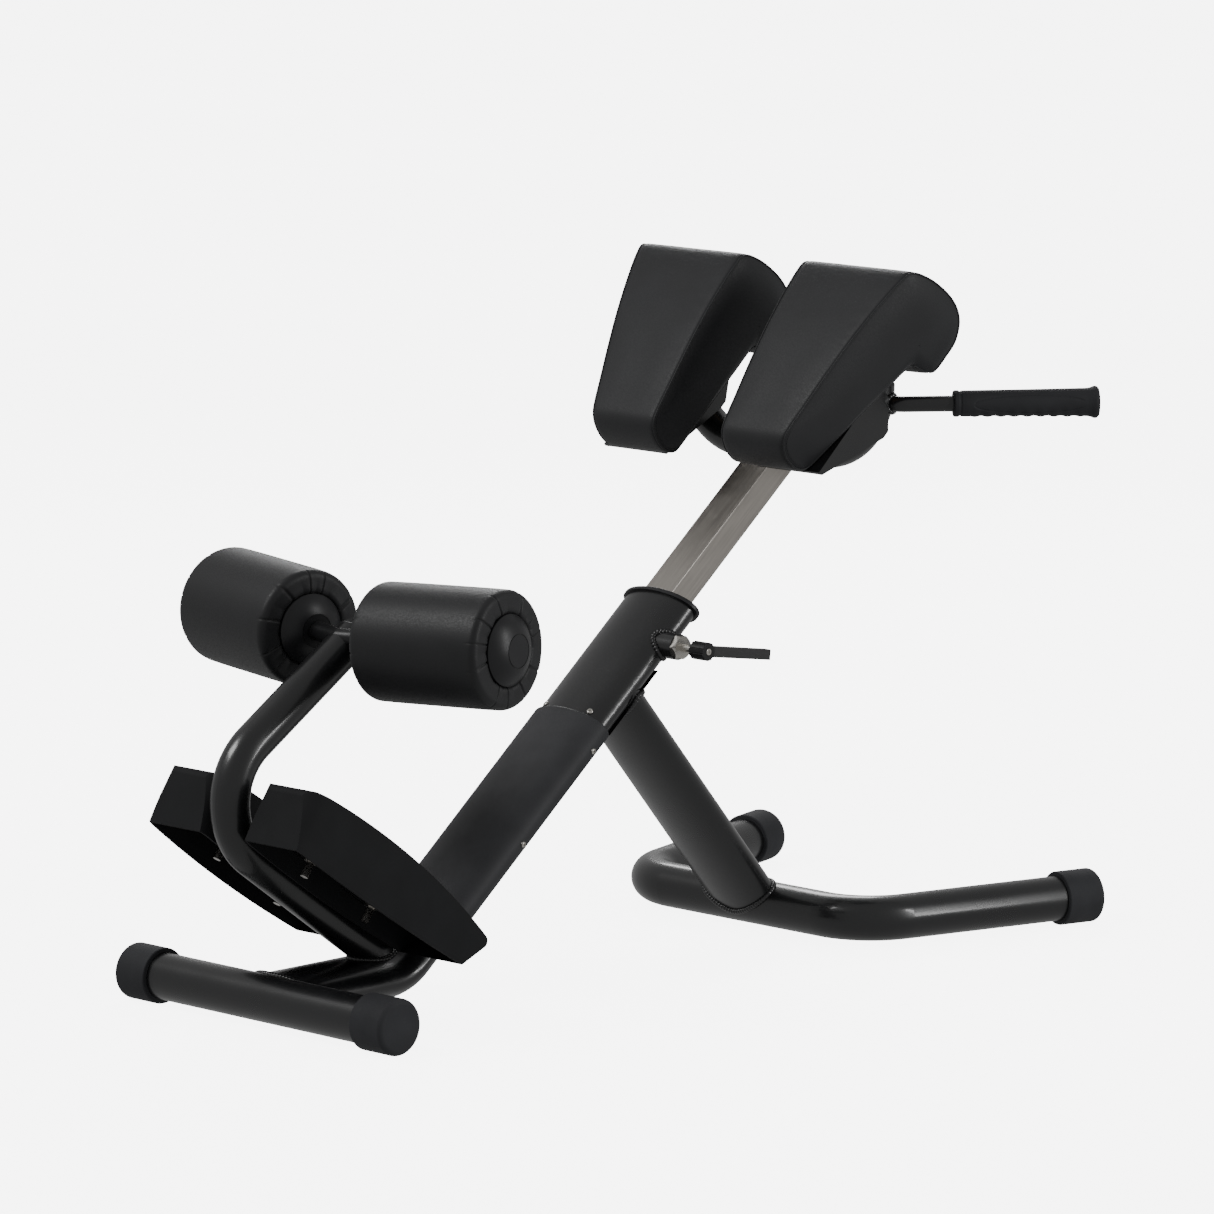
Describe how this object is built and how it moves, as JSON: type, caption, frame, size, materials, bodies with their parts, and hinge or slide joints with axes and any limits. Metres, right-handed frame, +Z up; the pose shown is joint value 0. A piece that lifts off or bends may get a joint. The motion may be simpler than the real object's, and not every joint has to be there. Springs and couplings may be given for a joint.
{
  "type": "roman chair",
  "caption": "Roman chair for 45 degree back extensions: splayed floor base, sliding post with split hip pads and handles, ankle rollers on a bent post, foot plates.",
  "frame": {"origin": "centre of the bounding box in plan, on the floor", "axes": "+Z up; +X from the ankle rollers to the hip pads; +Y to the left of the person on the chair"},
  "size_m": [1.3106, 0.7696, 0.8959],
  "materials": {
    "frame_paint": "semi-gloss black powder coat",
    "shroud_plastic": "matte charcoal, fine texture",
    "nylon": "satin black nylon",
    "bare_steel": "satin nickel plate",
    "zinc_steel": "bright zinc plate",
    "black_steel": "black oxide",
    "foot_rubber": "matte rubber",
    "tread_rubber": "fine-grained rubber",
    "leatherette": "fine-grained black upholstery",
    "hub_plastic": "moulded plastic",
    "plywood": "birch plywood",
    "grip_rubber": "matte moulded rubber"
  },
  "bodies": {
    "frame": {"base_cap_left": "foot_rubber", "base_cap_right": "foot_rubber", "base_tube": "frame_paint", "clamp_boss": "frame_paint", "clamp_nut": "zinc_steel", "footplate_bolts": "zinc_steel", "footplate_left": "tread_rubber", "footplate_nuts": "zinc_steel", "footplate_right": "tread_rubber", "footplate_washers": "zinc_steel", "front_cap_left": "foot_rubber", "front_cap_right": "foot_rubber", "front_foot_tube": "frame_paint", "guide_bush_lower": "nylon", "guide_bush_upper": "nylon", "guide_screws": "zinc_steel", "leg_saddle": "frame_paint", "main_beam": "frame_paint", "plate_bar_lower": "frame_paint", "plate_bar_upper": "frame_paint", "plate_spacers": "nylon", "rear_leg": "frame_paint", "roller_axle": "black_steel", "roller_post": "frame_paint", "roller_post_cap": "nylon", "roller_retainers": "zinc_steel", "saddle_bolts": "black_steel", "shroud_lower": "shroud_plastic", "shroud_screws": "black_steel", "shroud_upper": "shroud_plastic"},
    "pad_head": {"cradle_tube": "frame_paint", "slide_post": "bare_steel", "post_end_cap": "nylon", "pad_bolts": "zinc_steel", "cradle_plug_left": "nylon", "pad_bracket_left": "frame_paint", "pad_board_left": "plywood", "pad_left": "leatherette", "handle_left": "frame_paint", "grip_left": "grip_rubber", "cradle_plug_right": "nylon", "pad_bracket_right": "frame_paint", "pad_board_right": "plywood", "pad_right": "leatherette", "handle_right": "frame_paint", "grip_right": "grip_rubber"},
    "clamp_screw": {"clamp_stud": "zinc_steel", "lever_insert": "zinc_steel", "lever_screw": "zinc_steel", "lever_spring": "zinc_steel"},
    "clamp_lever": {"lever_handle": "hub_plastic"},
    "ankle_roller_left": {"roller_foam_left": "leatherette", "roller_sleeve_left": "nylon", "roller_cap_outer_left": "hub_plastic", "roller_cap_inner_left": "hub_plastic"},
    "ankle_roller_right": {"roller_foam_right": "leatherette", "roller_sleeve_right": "nylon", "roller_cap_outer_right": "hub_plastic", "roller_cap_inner_right": "hub_plastic"}
  },
  "joints": [
    {"name": "post_slide", "type": "slide", "parent": "frame", "child": "pad_head", "axis": [0.7716, 0, 0.6361], "range_m": [0, 0.2]},
    {"name": "clamp_turn", "type": "hinge", "parent": "frame", "child": "clamp_screw", "pos_m": [0.08304, 0, 0.41069], "axis": [0, -1, 0], "range_deg": [-330, 0]},
    {"name": "lever_index", "type": "hinge", "parent": "clamp_screw", "child": "clamp_lever", "pos_m": [0.08304, 0, 0.41069], "axis": [0, -1, 0], "range_deg": [-180, 180]},
    {"name": "roller_spin_left", "type": "hinge", "parent": "frame", "child": "ankle_roller_left", "pos_m": [-0.44232, 0, 0.4754], "axis": [0.1649, 0.9857, 0.0349], "continuous": true},
    {"name": "roller_spin_right", "type": "hinge", "parent": "frame", "child": "ankle_roller_right", "pos_m": [-0.44232, 0, 0.4754], "axis": [0.1649, -0.9857, 0.0349], "continuous": true}
  ]
}
